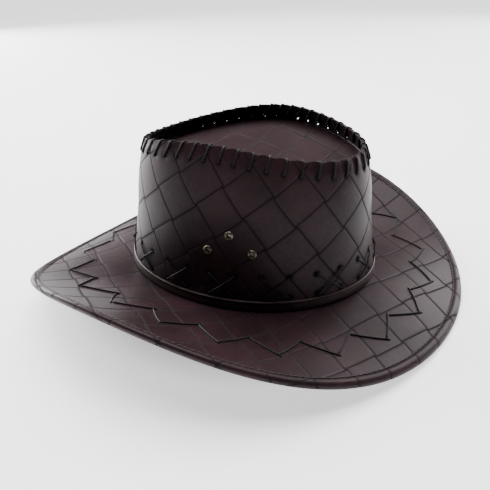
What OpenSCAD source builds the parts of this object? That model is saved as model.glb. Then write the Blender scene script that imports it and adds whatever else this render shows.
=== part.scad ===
// A western hat of leathercloth with an open whip-laced crown, in millimetres.
// The hat stands on a table: +Z is up, the front of the hat is towards -Y.
// The origin is on the table, under the middle of the brim.

/* [Crown] */
// Length of the crown's oval where it meets the brim
crown_base_length = 208; // [190:1:230]
// Width of the crown's oval where it meets the brim
crown_base_width = 170; // [155:1:190]
// Length of the crown's oval at its top edge
crown_rim_length = 176; // [140:1:185]
// Width of the crown's oval at its top edge
crown_rim_width = 137; // [115:1:150]
// How far the top oval is narrower at the front than at the back
crown_rim_egg = 2.6; // [0:0.1:6]
// How far the top oval sits ahead of the base oval
crown_lean = 2; // [0:0.5:8]
// How far the crown sits behind the middle of the brim
crown_setback = 2; // [-4:0.5:6]
// Height of the crown at its sides
crown_side_height = 113.5; // [95:0.5:125]
// Height of the crown at the front
crown_front_height = 100.5; // [85:0.5:110]
// Height of the crown at the back
crown_back_height = 100.5; // [85:0.5:112]
// How far the crown's shoulder swells beyond a straight wall
crown_shoulder = 1.4; // [0:0.1:3]
// How far the tip panel lies below the top edge
tip_depth = 13; // [12:0.5:24]

/* [Brim] */
// Length of the brim, front to back
brim_length = 337; // [310:1:380]
// Width of the brim, side to side
brim_width = 354; // [310:1:380]
// How far the brim's outline bulges between its four quarters
brim_corner = 1.9; // [0:0.1:4]
// Rise of the brim's edge at the sides, above the crown's base
brim_side_rise = 39; // [20:0.5:55]
// Drop of the brim's edge at the front and back, below the crown's base
brim_end_drop = 14.2; // [8:0.1:24]
// Rise of the brim's edge midway between side and end
brim_quarter_rise = 5.5; // [0:0.5:10]
// How far the front quarters hang lower than the back quarters
brim_front_dip = 2.8; // [0:0.1:5]
// How far the crown's base line arches up at the front and back
base_arch = 1.3; // [0:0.1:3]
// How far the brim curls between crown and edge
brim_curl = 2.5; // [0:0.1:5]

/* [Leather and lining] */
// Thickness of the leathercloth
leather_thickness = 1.2; // [0.8:0.1:2]
// Thickness of the board inside the brim
stiffener_thickness = 1; // [0.6:0.1:2]
// Thickness of the lining cloth
lining_thickness = 0.4; // [0.2:0.1:0.8]
// Space between two layers that lie on each other
layer_gap = 0.1; // [0.05:0.05:0.3]
// Width of the binding's stitched lap, beyond its rolled edge
binding_lap = 3.4; // [2.4:0.1:8]
// Diameter of the rolled edge of the binding
binding_roll = 5; // [4:0.1:8]
// Diameter of the wire in the brim's edge
wire_diameter = 1.8; // [1:0.1:2.4]
// Height of the sweatband above the crown's base
sweatband_height = 32; // [25:1:45]
// Height of the strip round the crown's base
band_height = 8.5; // [7:0.5:14]
// Diameter of the sewing thread
thread_diameter = 0.5; // [0.3:0.1:0.8]

/* [Lacing] */
// Diameter of the lace
lace_diameter = 1.5; // [1:0.1:2]
// Diameter of a lace hole
lace_hole = 2.8; // [2:0.1:3.5]
// Number of whip stitches round the top edge
rim_stitches = 46; // [36:1:56]
// Distance of the whip-stitch holes below the top edge
rim_hole_depth = 10; // [8:0.5:10.5]
// Where a whip stitch crosses the edge, as a share of the way to the next hole
whip_over = 0.34; // [0.2:0.02:0.5]
// Number of crosses above the strip
crosses = 15; // [12:1:20]
// Height of the upper holes of the crosses above the crown's base
cross_top = 25.5; // [20:0.5:32]
// Number of zigzags on the brim
zigzags = 21; // [16:1:26]
// Distance of the zigzag's inner corners from the crown, as a share of the brim
zigzag_inner = 0.475; // [0.4:0.005:0.52]
// Distance of the zigzag's outer corners from the crown, as a share of the brim
zigzag_outer = 0.635; // [0.58:0.005:0.72]
// Distance between the two holes at a corner of the zigzag
zigzag_hole_spacing = 4; // [3.6:0.1:6]

/* [Vents] */
// Outer diameter of a vent eyelet
eyelet_diameter = 6.6; // [5.5:0.1:9]
// Diameter of the hole through a vent eyelet
eyelet_bore = 3.2; // [2:0.1:4]
// Height of the two lower vents above the crown's base
vent_low = 42.5; // [35:0.5:50]
// Height of the upper vent above the crown's base
vent_high = 54.5; // [45:0.5:65]
// Angle of the middle vent ahead of the crown's side
vent_angle = 20; // [0:0.5:40]
// Angle from one vent to the next
vent_step = 11.5; // [8:0.5:16]

/* [Hidden] */

around = 60;
round_segments = 48;
lace_sides = 5;

leather_brown = "#4a3c40";
lining_black = "#17151a";
lace_black = "#120f11";
board_grey = "#6e675e";
brass = "#8a7148";
steel = "#8d8f93";
band_brown = "#54454a";

brim_stack = leather_thickness * 2 + stiffener_thickness + layer_gap * 2;
wire_inset = binding_roll / 2 + 0.1;
ply_end = wire_inset + wire_diameter / 2 + 0.5;
lace_space = lace_diameter + 0.2;
eyelet_barrel = eyelet_bore / 2 + 0.45;
eyelet_hole = eyelet_barrel + 0.1;
band_lap = 9;
band_lap_at = 100;
rim_phase = 183.7;
cross_phase = 141;
zigzag_phase = 201.8;
zigzag_crowding = 4.3;
zigzag_crowded_at = 210;
lift = brim_end_drop + brim_stack / 2 + binding_roll / 2;

// ---- vectors ----
function unit(v) = v / norm(v);
function at_angle(r, a, z) = [r * cos(a), r * sin(a), z];
function mix(p, q, t) = p * (1 - t) + q * t;

// Radius of an oval of this length and width at the angle a
function oval(length, width, a) = (length + width) / 4 + (width - length) / 4 * cos(2 * a);
// Angle that spaces points evenly round such an oval
function even(a, length, width) =
  a + (length - width) / (length + width) / 2 * 180 / PI * sin(2 * a);

// ---- crown surface: t is 0 at the base and 1 at the top edge ----
function base_z(a) = -base_arch * cos(2 * a);
function crown_height(a) =
  let (ends = (crown_front_height + crown_back_height) / 2)
  (crown_side_height + ends) / 2 + (crown_side_height - ends) / 2 * cos(2 * a)
  + (crown_back_height - crown_front_height) / 2 * sin(a);
function shoulder(t) =
  crown_shoulder * (2 * t * (1 - t) + 16 * max(0, t - 0.5) * (1 - t));
function crown_radius(a, t) =
  mix(oval(crown_base_length, crown_base_width, a),
      oval(crown_rim_length, crown_rim_width, a) + crown_rim_egg * sin(3 * a), t)
  + shoulder(t);
// Point on the crown's outer face, moved outwards by out
function crown(a, t, out = 0) =
  let (s = max(0, t))
  at_angle(crown_radius(a, s) + out, a, 0)
  + [0, crown_setback - crown_lean * s, lift + mix(base_z(a), crown_height(a), t)];
// The same, by height above the crown's base and by depth below its top edge
function crown_up(a, height, out = 0) =
  crown(a, height / (crown_height(a) - base_z(a)), out);
function crown_down(a, depth, out = 0) =
  crown(a, 1 - depth / (crown_height(a) - base_z(a)), out);
function crown_normal(a, height) =
  unit(cross(crown_up(a + 0.5, height) - crown_up(a - 0.5, height),
             crown_up(a, height + 1) - crown_up(a, height - 1)));

// ---- brim surface: s is 0 at the crown and 1 at the edge ----
function brim_radius(a) =
  oval(brim_length, brim_width, a) + brim_corner * (1 - cos(4 * a));
function brim_edge_z(a) =
  let (ends = (brim_side_rise - brim_end_drop) / 4)
  ends + brim_quarter_rise / 2
  + (brim_side_rise + brim_end_drop) / 2 * cos(2 * a)
  + (ends - brim_quarter_rise / 2) * cos(4 * a)
  + brim_front_dip * (sin(a) + sin(3 * a));
function brim(a, s, up = 0) =
  mix(at_angle(oval(crown_base_length, crown_base_width, a), a, base_z(a)) + [0, crown_setback, 0],
      at_angle(brim_radius(a), a, brim_edge_z(a)), s)
  + [0, 0, lift + up - brim_curl * 4 * max(0, s) * (1 - s) * cos(2 * a)];
function brim_run(a) = norm(brim(a, 1) - brim(a, 0));
// The same, by the distance in from the brim's edge
function brim_in(a, inset, up = 0) = brim(a, 1 - inset / brim_run(a), up);

// ---- solids ----
// A closed band whose cross-section at each angle is profile(a), listed
// counter-clockwise when seen with the axis on the left and up upwards. The
// two halves of the profile are split along the same diagonals, so that the
// faces of a layer, and of layers that lie on each other, stay parallel
module ring(profile, n = around) {
  rows = [for (i = [0 : n - 1]) profile(i * 360 / n)];
  m = len(rows[0]);
  faces = [
    for (i = [0 : n - 1], j = [0 : m - 1])
      let (here = i * m, next = (i + 1) % n * m, k = (j + 1) % m)
      each j < m / 2
        ? [[here + j, here + k, next + k], [here + j, next + k, next + j]]
        : [[here + j, here + k, next + j], [here + k, next + k, next + j]]
  ];
  polyhedron([for (row = rows) each row], faces);
}

// The same, from angle a0 to a1, with both ends closed
module strip(profile, a0, a1, n) {
  rows = [for (i = [0 : n]) profile(mix(a0, a1, i / n))];
  m = len(rows[0]);
  sides = [
    for (i = [0 : n - 1], j = [0 : m - 1])
      let (here = i * m, next = (i + 1) * m, k = (j + 1) % m)
      each [[here + j, here + k, next + k], [here + j, next + k, next + j]]
  ];
  ends = [
    for (j = [1 : m - 2])
      each [[0, j + 1, j], [n * m, n * m + j, n * m + j + 1]]
  ];
  polyhedron([for (row = rows) each row], concat(sides, ends));
}

// A closed panel: profile(a) runs outwards over its top and back under it
module panel(profile, top_centre, under_centre, n = around) {
  rows = [for (i = [0 : n - 1]) profile(i * 360 / n)];
  m = len(rows[0]);
  top = n * m;
  sides = [
    for (i = [0 : n - 1], j = [0 : m - 2])
      let (here = i * m, next = (i + 1) % n * m)
      each [[here + j, next + j + 1, here + j + 1], [here + j, next + j, next + j + 1]]
  ];
  caps = [
    for (i = [0 : n - 1])
      let (here = i * m, next = (i + 1) % n * m)
      each [[top, next, here], [top + 1, here + m - 1, next + m - 1]]
  ];
  polyhedron(concat([for (row = rows) each row], [top_centre, under_centre]),
             concat(sides, caps));
}

// A round thread lying in a ring: centre(a) is the middle of its section
module thread_ring(centre, diameter, sides = 4) {
  ring(function (a) let (c = centre(a)) [
    for (k = [0 : sides - 1])
      c + at_angle(diameter / 2 * cos(k * 360 / sides), a, diameter / 2 * sin(k * 360 / sides))
  ]);
}

// A lace with closed ends, swept along a list of points
module lace(path) {
  n = len(path);
  along = [
    for (i = [0 : n - 1]) unit(path[min(i + 1, n - 1)] - path[max(i - 1, 0)])
  ];
  first = unit(cross(along[0], abs(along[0].z) < 0.9 ? [0, 0, 1] : [1, 0, 0]));
  sideways = [
    for (i = 0, v = first; i < n;
         i = i + 1, v = i < n ? unit(v - (v * along[i]) * along[i]) : v) v
  ];
  points = [
    for (i = [0 : n - 1], k = [0 : lace_sides - 1])
      path[i] + lace_diameter / 2 * (
        sideways[i] * cos(k * 360 / lace_sides)
        + cross(along[i], sideways[i]) * sin(k * 360 / lace_sides))
  ];
  sides = [
    for (i = [0 : n - 2], k = [0 : lace_sides - 1])
      let (here = i * lace_sides, next = here + lace_sides, j = (k + 1) % lace_sides)
      each [[here + k, next + j, here + j], [here + k, next + k, next + j]]
  ];
  last = (n - 1) * lace_sides;
  ends = [
    [for (k = [0 : lace_sides - 1]) k],
    [for (k = [lace_sides - 1 : -1 : 0]) last + k]
  ];
  polyhedron(points, concat(sides, ends));
}

// A straight drill through the point p, along the direction v
module drill(p, v, diameter, length) {
  translate(p)
    rotate([0, acos(unit(v).z), atan2(v.y, v.x)])
      cylinder(d = diameter, h = length, center = true, $fn = round_segments);
}

// ---- places of the holes ----
function rim_angle(i) =
  even(rim_phase + i * 360 / rim_stitches, crown_rim_length, crown_rim_width);
function cross_angle(i) =
  even(cross_phase + i * 360 / crosses / 2, crown_base_length, crown_base_width);
// The zigzag's corners stand closer together at two opposite quarters of the brim
function zigzag_angle(i) =
  let (a = zigzag_phase + i * 360 / zigzags)
  a - zigzag_crowding * sin(2 * (a - zigzag_crowded_at));
cross_foot = band_height + 2;
vents = [
  for (side = [0, 180], k = [-1 : 1])
    [side == 0 ? -vent_angle + k * vent_step : 180 + vent_angle + k * vent_step,
     k == 0 ? vent_high : vent_low]
];

module rim_holes() {
  for (i = [0 : rim_stitches - 1]) {
    a = rim_angle(i);
    drill(crown_down(a, rim_hole_depth, -leather_thickness), at_angle(1, a, 0), lace_hole, 9);
  }
}

module cross_holes() {
  for (i = [0 : crosses * 2 - 1], height = [cross_foot, cross_top]) {
    a = cross_angle(i);
    drill(crown_up(a, height, -leather_thickness), at_angle(1, a, 0), lace_hole, 7);
  }
}

module vent_holes(diameter) {
  for (v = vents)
    drill(crown_up(v[0], v[1]), crown_normal(v[0], v[1]), diameter, 8);
}

// The two holes at each corner of the zigzag, side by side along the brim's run
function zigzag_pair(a, s, way) =
  [brim(a, s), brim(a, s + way * zigzag_hole_spacing / brim_run(a))];
module zigzag_holes() {
  for (i = [0 : zigzags - 1]) {
    outer = zigzag_pair(zigzag_angle(i), zigzag_outer, 1);
    inner = zigzag_pair(zigzag_angle(i + 0.5), zigzag_inner, -1);
    for (p = concat(outer, inner))
      drill(p, [0, 0, 1], lace_hole, 12);
  }
}

// ---- crown ----
wall_rows = [0, 0.12, 0.32, 0.55, 0.72, 0.85, 0.94, 1];

module crown_wall() {
  color(leather_brown)
    difference() {
      ring(function (a) concat(
        [for (t = wall_rows) crown_up(a, layer_gap) * (1 - t) + crown(a, 1) * t
          + crown(a, t) - mix(crown(a, 0), crown(a, 1), t)],
        [for (k = [len(wall_rows) - 1 : -1 : 0]) let (t = wall_rows[k])
          crown_up(a, layer_gap, -leather_thickness) * (1 - t)
          + crown(a, 1, -leather_thickness) * t
          + crown(a, t) - mix(crown(a, 0), crown(a, 1), t)]));
      rim_holes();
      cross_holes();
      vent_holes(eyelet_hole * 2);
    }
}

// The lining clears the laces behind the crown's foot, then lies on the wall; it
// stops under the tip panel
lining_out = -leather_thickness - layer_gap;
lining_low_out = -leather_thickness - lace_space;
module crown_wall_lining() {
  color(lining_black)
    difference() {
      ring(function (a)
        let (top = crown_height(a) - base_z(a) - tip_depth - leather_thickness * 2 - 1,
             rows = [[4, lining_low_out], [cross_top + 3, lining_low_out],
                     [cross_top + 9, lining_out], [mix(cross_top + 9, top, 0.5), lining_out],
                     [top, lining_out]])
        concat(
          [for (row = rows) crown_up(a, row[0], row[1])],
          [for (k = [len(rows) - 1 : -1 : 0])
            crown_up(a, rows[k][0], rows[k][1] - lining_thickness)]));
      cross_holes();
      vent_holes(eyelet_hole * 2);
    }
}

// The tip panel's height, at the share u of the way from its middle to its edge
tip_middle = lift + (crown_side_height * 2 + crown_front_height + crown_back_height) / 4
  - tip_depth;
flange_out = -leather_thickness * 2 - layer_gap;
function tip(a, u, under = 0) =
  let (edge = crown_down(a, tip_depth, flange_out - 1.5),
       middle = [0, crown_setback - crown_lean, tip_middle])
  [mix(middle.x, edge.x, u), mix(middle.y, edge.y, u),
   mix(middle.z, edge.z, u * u) - under];

module crown_tip() {
  color(leather_brown)
    difference() {
      panel(function (a) [
              tip(a, 0.45), tip(a, 0.8), tip(a, 1),
              crown_down(a, tip_depth - 1.5, flange_out),
              crown_down(a, tip_depth / 2, flange_out),
              crown_down(a, 0, flange_out),
              crown_down(a, 0, lining_out),
              crown_down(a, tip_depth / 2, lining_out),
              crown_down(a, tip_depth - 0.5, lining_out),
              tip(a, 1, leather_thickness), tip(a, 0.8, leather_thickness),
              tip(a, 0.45, leather_thickness)
            ],
            tip(0, 0), tip(0, 0, leather_thickness));
      rim_holes();
    }
}

module crown_tip_lining() {
  under = leather_thickness + layer_gap;
  color(lining_black)
    panel(function (a) [
            tip(a, 0.45, under), tip(a, 0.8, under), tip(a, 0.97, under),
            tip(a, 0.97, under + lining_thickness), tip(a, 0.8, under + lining_thickness),
            tip(a, 0.45, under + lining_thickness)
          ],
          tip(0, 0, under), tip(0, 0, under + lining_thickness));
}

// A tape over the wall's back seam, on the inside, above the sweatband
tape_out = lining_out - lining_thickness - layer_gap;
module crown_seam_tape() {
  color(lining_black)
    strip(function (a)
            let (low = max(sweatband_height, cross_top + 10) + 1, high = crown_back_height - tip_depth - 8)
            concat(
              [for (k = [0 : 2]) crown_up(a, mix(low, high, k / 2), tape_out)],
              [for (k = [2 : -1 : 0])
                crown_up(a, mix(low, high, k / 2), tape_out - lining_thickness)]),
          86, 94, 2);
}

// ---- lacing ----
// Whip stitches: out through a hole, slanting up over both edges, down inside
// to the next hole
out_side = lace_diameter / 2 + 0.1;
in_side = flange_out - lace_diameter / 2 - 0.1;
module rim_lace() {
  color(lace_black)
    lace([
      for (i = [0 : rim_stitches - 1]) let (a = rim_angle(i), b = rim_angle(i + 1))
        each [
          crown_down(a, rim_hole_depth, in_side),
          crown_down(a, rim_hole_depth, out_side),
          crown_down(mix(a, b, whip_over / 2), rim_hole_depth / 2, out_side),
          crown_down(mix(a, b, whip_over - 0.03), 0.4, out_side),
          crown_down(mix(a, b, whip_over), -lace_diameter / 2 - 0.1, flange_out / 2),
          crown_down(mix(a, b, whip_over + 0.03), 0.4, in_side),
          crown_down(mix(a, b, 0.5 + whip_over / 2), rim_hole_depth / 2, in_side)
        ]
    ]);
}

// Crosses: out at the first upper hole, down to the second foot, back inside to
// the first foot, out and up over the first strand to the second upper hole
behind = -leather_thickness - lace_diameter / 2 - 0.1;
module crown_cross_lace() {
  color(lace_black)
    lace([
      for (i = [0 : crosses - 1])
        let (a = cross_angle(2 * i), b = cross_angle(2 * i + 1), m = (a + b) / 2,
             halfway = (cross_foot + cross_top) / 2)
        each [
          crown_up(a, cross_top, behind),
          crown_up(a, cross_top, out_side),
          crown_up(m, halfway, out_side),
          crown_up(b, cross_foot, out_side),
          crown_up(b, cross_foot, behind),
          crown_up(a, cross_foot, behind),
          crown_up(a, cross_foot, out_side),
          crown_up(mix(a, m, 0.6), mix(cross_foot, halfway, 0.6), out_side + lace_diameter * 0.6),
          crown_up(m, halfway, out_side + lace_diameter + 0.1),
          crown_up(mix(m, b, 0.4), mix(halfway, cross_top, 0.4), out_side + lace_diameter * 0.6),
          crown_up(b, cross_top, out_side),
          crown_up(b, cross_top, behind)
        ]
    ]);
}

// Zigzag: each strand lies on the brim, dives at the far hole of a corner, and
// comes up again at the near one
module brim_lace() {
  over = lace_diameter / 2 + 0.1;
  below = -brim_stack - lace_diameter / 2 - 0.1;
  function corner(a, s, way) =
    let (far = s + way * zigzag_hole_spacing / brim_run(a))
    [brim(a, far, over), brim(a, far, below), brim(a, s, below), brim(a, s, over)];
  color(lace_black)
    lace([
      for (i = [0 : zigzags - 1])
        let (a = zigzag_angle(i), b = zigzag_angle(i + 0.5), c = zigzag_angle(i + 1),
             mid = (zigzag_inner + zigzag_outer) / 2)
        each concat(
          corner(a, zigzag_outer, 1), [brim(mix(a, b, 0.5), mid, over)],
          corner(b, zigzag_inner, -1),
          [brim(mix(b, c, 0.5), mid, over),
           brim(mix(b, c, 0.9), mix(zigzag_inner, zigzag_outer, 0.9), over)])
    ]);
}

// ---- strip round the crown's base ----
// One end laps over the other, so the strip's last stretch stands further out
module hat_band() {
  function stand_off(a) =
    let (lapped = max(0, a - band_lap_at - 360 + band_lap / 2) / band_lap * 2)
    out_side - lace_diameter / 2 + (leather_thickness * 1.3 + layer_gap * 2) * min(1, lapped);
  color(band_brown)
    strip(function (a)
            let (o = stand_off(a), t = leather_thickness)
            [crown_up(a, 0.8, o + t * 0.8), crown_up(a, band_height - 2, o + t),
             crown_up(a, band_height - 1, o + t * 1.3), crown_up(a, band_height, o + t),
             crown_up(a, band_height, o), crown_up(a, 0.8, o)],
          band_lap_at, band_lap_at + 360 + band_lap, around + 4);
}

// ---- vents ----
module on_vents() {
  for (v = vents) {
    n = crown_normal(v[0], v[1]);
    translate(crown_up(v[0], v[1]))
      rotate([0, acos(n.z), atan2(n.y, n.x)])
        children();
  }
}

wall_stack = leather_thickness + layer_gap + lining_thickness;
washer_thickness = 0.4;
module vent_eyelets() {
  r = eyelet_diameter / 2;
  b = eyelet_bore / 2;
  color(brass)
    on_vents()
      rotate_extrude($fn = round_segments)
        polygon([
          [b, -wall_stack - 1.1], [eyelet_barrel, -wall_stack - 1.1],
          [eyelet_barrel, 0.15], [r, 0.15], [r, 0.35], [r - 0.5, 0.85],
          [eyelet_barrel + 0.2, 1], [b + 0.2, 0.7], [b, 0.3]
        ]);
}

module vent_washers() {
  color(steel)
    on_vents()
      translate([0, 0, -wall_stack - washer_thickness - 0.3])
        difference() {
          cylinder(d = eyelet_diameter + 0.8, h = washer_thickness, $fn = round_segments);
          translate([0, 0, -1])
            cylinder(r = eyelet_hole, h = washer_thickness + 2, $fn = round_segments);
        }
}

// ---- brim ----
// One layer of the brim, from up down to up - thickness, ending inset from the edge
module brim_layer(up, thickness) {
  difference() {
    ring(function (a)
      let (start = -leather_thickness / brim_run(a), end = 1 - ply_end / brim_run(a),
           shares = [start, mix(0, end, 0.25), mix(0, end, 0.5), mix(0, end, 0.75), end])
      concat([for (s = shares) brim(a, s, up - thickness)],
             [for (k = [4 : -1 : 0]) brim(a, shares[k], up)]));
    zigzag_holes();
  }
}

module brim_top_ply() {
  color(leather_brown) brim_layer(0, leather_thickness);
}

module brim_stiffener() {
  color(board_grey) brim_layer(-leather_thickness - layer_gap, stiffener_thickness);
}

module brim_bottom_ply() {
  color(leather_brown) brim_layer(leather_thickness - brim_stack, leather_thickness);
}

module brim_wire() {
  color(steel)
    thread_ring(function (a) brim_in(a, wire_inset, -brim_stack / 2), wire_diameter, 6);
}

// The binding wraps the edge: over the top, round the wire and back underneath. Its
// lap is skived thin and sewn down, which leaves a groove along the roll
binding_width = ply_end + binding_lap;
lap_rise = layer_gap + 0.4;
seam_inset = binding_width - 1;
module brim_binding() {
  t = leather_thickness;
  half = brim_stack / 2;
  roll = binding_roll / 2;
  groove_end = ply_end + 1 + (seam_inset - ply_end - 1) * 0.65;
  color(leather_brown)
    ring(function (a) [
      for (p = [
        [binding_width, -half - lap_rise], [groove_end, -half - lap_rise],
        [ply_end + 1, -half - t], [roll, -roll - 0.1], [roll * 0.3, -roll * 0.7],
        [0, 0], [roll * 0.3, roll * 0.7], [roll, roll + 0.1], [ply_end + 1, half + t],
        [groove_end, half + lap_rise], [binding_width, half + lap_rise],
        [binding_width, half + layer_gap],
        [ply_end - 0.3, half + layer_gap], [roll * 0.68, roll * 0.52], [roll * 0.48, 0],
        [roll * 0.68, -roll * 0.52], [ply_end - 0.3, -half - layer_gap],
        [binding_width, -half - layer_gap]
      ]) brim_in(a, p[0], p[1] - half)
    ]);
}

// The seam in the groove: one thread above, one below
module binding_stitching() {
  above = lap_rise + layer_gap / 2 + thread_diameter / 2;
  color(lace_black) {
    thread_ring(function (a) brim_in(a, seam_inset, above), thread_diameter);
    thread_ring(function (a) brim_in(a, seam_inset, -brim_stack - above), thread_diameter);
  }
}

// ---- sweatband ----
sweatband_out = lining_low_out - lining_thickness - layer_gap;
module sweatband() {
  low = -brim_stack - 0.2;
  color(lining_black)
    ring(function (a) concat(
      [for (z = [low, 0, sweatband_height / 2, sweatband_height])
        crown_up(a, z, sweatband_out)],
      [for (z = [sweatband_height, sweatband_height / 2, 0, low])
        crown_up(a, z, sweatband_out - leather_thickness)]));
}

module sweatband_stitching() {
  color(lace_black)
    thread_ring(function (a)
      crown_up(a, 2, sweatband_out - leather_thickness - thread_diameter / 2 - 0.05),
      thread_diameter);
}

crown_wall();
crown_wall_lining();
crown_tip();
crown_tip_lining();
crown_seam_tape();
rim_lace();
crown_cross_lace();
hat_band();
vent_eyelets();
vent_washers();
brim_top_ply();
brim_stiffener();
brim_bottom_ply();
brim_wire();
brim_binding();
binding_stitching();
brim_lace();
sweatband();
sweatband_stitching();
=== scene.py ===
import math

import bmesh
import bpy
import numpy as np
from mathutils import Matrix, Vector
from mathutils.kdtree import KDTree


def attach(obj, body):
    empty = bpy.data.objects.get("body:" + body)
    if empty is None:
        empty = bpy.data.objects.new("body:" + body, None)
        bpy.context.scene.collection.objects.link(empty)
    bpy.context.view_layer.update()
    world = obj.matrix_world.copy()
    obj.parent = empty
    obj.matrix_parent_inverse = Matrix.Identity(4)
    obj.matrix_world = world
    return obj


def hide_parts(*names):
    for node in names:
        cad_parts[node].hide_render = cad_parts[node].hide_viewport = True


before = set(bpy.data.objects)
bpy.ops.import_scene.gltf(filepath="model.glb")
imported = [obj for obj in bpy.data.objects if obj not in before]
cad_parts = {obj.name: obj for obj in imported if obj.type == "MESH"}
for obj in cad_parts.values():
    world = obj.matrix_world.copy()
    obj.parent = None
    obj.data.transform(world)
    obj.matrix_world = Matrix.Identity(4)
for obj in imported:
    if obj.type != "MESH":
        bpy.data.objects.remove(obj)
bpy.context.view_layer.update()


# ============================================================================
# Studio: a wide pale floor under a large soft light, with softer lights behind
# the hat on both sides, and the camera. Lengths of the hat itself are in
# millimetres all through this file, and become metres when a mesh is made.
# ============================================================================
def colour(code):
    """sRGB hex text to linear RGBA."""
    parts = [int(code[i:i + 2], 16) / 255 for i in (1, 3, 5)]
    return [c / 12.92 if c <= 0.04045 else ((c + 0.055) / 1.055) ** 2.4 for c in parts] + [1.0]


def add(tree, kind, inputs=(), **settings):
    """Adds a node; inputs maps its sockets to values or to the outputs that feed them."""
    node = tree.nodes.new(kind)
    for name, value in settings.items():
        setattr(node, name, value)
    for socket, value in dict(inputs).items():
        if isinstance(value, bpy.types.NodeSocket):
            tree.links.new(value, node.inputs[socket])
        else:
            node.inputs[socket].default_value = value
    return node


def new_material(name, **values):
    """A material and its Principled shader, with plain values set on the shader's sockets."""
    material = bpy.data.materials.new(name)
    material.use_nodes = True
    shader = material.node_tree.nodes["Principled BSDF"]
    for socket, value in values.items():
        shader.inputs[socket.replace("_", " ")].default_value = value
    return material, material.node_tree, shader


azimuth, elevation, roll = (math.radians(x) for x in (-57.91, 25.98, -1.28))
back = Vector((
    math.sin(azimuth) * math.cos(elevation),
    -math.cos(azimuth) * math.cos(elevation),
    math.sin(elevation),
))
right = (-back).cross(Vector((0, 0, 1))).normalized()
up = right.cross(-back)
camera = bpy.data.objects.new("camera", bpy.data.cameras.new("camera"))
camera.data.lens = 41.16
camera.data.sensor_width = 36.0
camera.matrix_world = Matrix.Translation((-0.3648, -0.2211, 0.2354)) @ Matrix((
    math.cos(roll) * right + math.sin(roll) * up,
    -math.sin(roll) * right + math.cos(roll) * up,
    back,
)).transposed().to_4x4()
bpy.context.collection.objects.link(camera)
bpy.context.scene.camera = camera

# matt white studio sweep that glows evenly out to its far edge, with a painted shadow under the crown
# where its glow is turned down
floor_paint, tree, shader = new_material("matt_white_sweep", Roughness=0.9)
shader.inputs["Emission Color"].default_value = (1, 1, 1, 1)
reach = add(tree, "ShaderNodeVectorMath", {0: add(tree, "ShaderNodeTexCoord").outputs["Object"]},
            operation="LENGTH")
# painted shadow: the glow is almost nothing within 90 mm of the middle and full from 150 mm out
near = add(tree, "ShaderNodeMapRange", {0: reach.outputs["Value"], 1: 0.09, 2: 0.15, 3: 0.03, 4: 1.1})
glow = add(tree, "ShaderNodeMapRange", {0: reach.outputs["Value"], 1: 1.0, 2: 2.8, 3: 0.0, 4: 0.7})
glow_with_painted_shadow = add(tree, "ShaderNodeMath", {0: near.outputs[0], 1: glow.outputs[0]}, operation="ADD")
tree.links.new(glow_with_painted_shadow.outputs[0], shader.inputs["Emission Strength"])
mottle = add(tree, "ShaderNodeTexNoise", {"Scale": 3.0, "Detail": 2.0})
tint = add(tree, "ShaderNodeMix", {0: mottle.outputs[0], 6: colour("#f4f4f6"), 7: colour("#fbfbfb")},
           data_type="RGBA")
tree.links.new(tint.outputs[2], shader.inputs["Base Color"])
floor_mesh = bpy.data.meshes.new("floor")
floor_mesh.from_pydata([(-60, -60, 0), (60, -60, 0), (60, 60, 0), (-60, 60, 0)], [], [(0, 1, 2, 3)])
floor_mesh.materials.append(floor_paint)
floor = bpy.data.objects.new("floor", floor_mesh)
bpy.context.collection.objects.link(floor)


def soft_light(name, place, size, power):
    """A square area light of that size in metres, facing the middle of the hat."""
    light = bpy.data.lights.new(name, "AREA")
    light.size = size
    light.energy = power
    lamp = bpy.data.objects.new(name, light)
    aim = Vector((0, 0, 0.06)) - Vector(place)
    lamp.matrix_world = Matrix.Translation(place) @ aim.to_track_quat("-Z", "Y").to_matrix().to_4x4()
    bpy.context.collection.objects.link(lamp)


soft_light("overhead_softbox", (0.3, 0.25, 1.5), 1.5, 60)
soft_light("back_left_panel", (0.4, 2.4, 0.9), 1.8, 170)
soft_light("back_right_panel", (2.4, -0.9, 1.1), 1.8, 90)

# the surroundings are brightest behind the hat and along the horizon
world = bpy.data.worlds.new("studio")
world.use_nodes = True
bpy.context.scene.world = world
tree = world.node_tree
direction = add(tree, "ShaderNodeTexCoord").outputs["Generated"]
behind = add(tree, "ShaderNodeVectorMath", {0: direction, 1: (0.85, 0.53, 0.0)}, operation="DOT_PRODUCT")
ramp = add(tree, "ShaderNodeMapRange", {0: behind.outputs["Value"], 1: -0.6, 2: 0.9, 3: 0.08, 4: 0.6})
height = add(tree, "ShaderNodeMath", {0: add(tree, "ShaderNodeSeparateXYZ", {0: direction}).outputs["Z"]},
             operation="ABSOLUTE")
horizon = add(tree, "ShaderNodeMapRange", {0: height.outputs[0], 1: 0.0, 2: 0.06, 3: 2.0, 4: 0.0})
both = add(tree, "ShaderNodeMath", {0: ramp.outputs[0], 1: horizon.outputs[0]}, operation="ADD")
tree.links.new(both.outputs[0], tree.nodes["Background"].inputs["Strength"])


# ============================================================================
# Crown wall: a strip of leathercloth embossed as a weave of 26 mm strips,
# closed by a butt seam at the back. Its top edge is laced to the tip panel and
# puckers a little there; eyelets and crossed laces go through it.
# ============================================================================
# length and width of the crown's two ovals, at its foot and at its top edge
foot_oval = (208, 170)
top_oval = (176, 137)
# thickness of the leathercloth, and the angle in degrees of the first of the rim's stitches
leather = 1.2
rim_start = 183.7
rim_stitches = 46
lift = 18.5


def mix(p, q, t):
    return p * (1 - t) + q * t


def oval(length, width, a):
    return (length + width) / 4 + (width - length) / 4 * np.cos(2 * a)


def even(a, length, width):
    """Angle that spaces points evenly round such an oval."""
    return a + (length - width) / (length + width) / 2 * np.sin(2 * a)


def base_z(a):
    """How the crown's foot arches, above and below the height of lift."""
    return -1.3 * np.cos(2 * a)


def wall_height(a):
    """Height of the wall above its own foot."""
    return 107 + 6.5 * np.cos(2 * a) - base_z(a)


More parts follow.
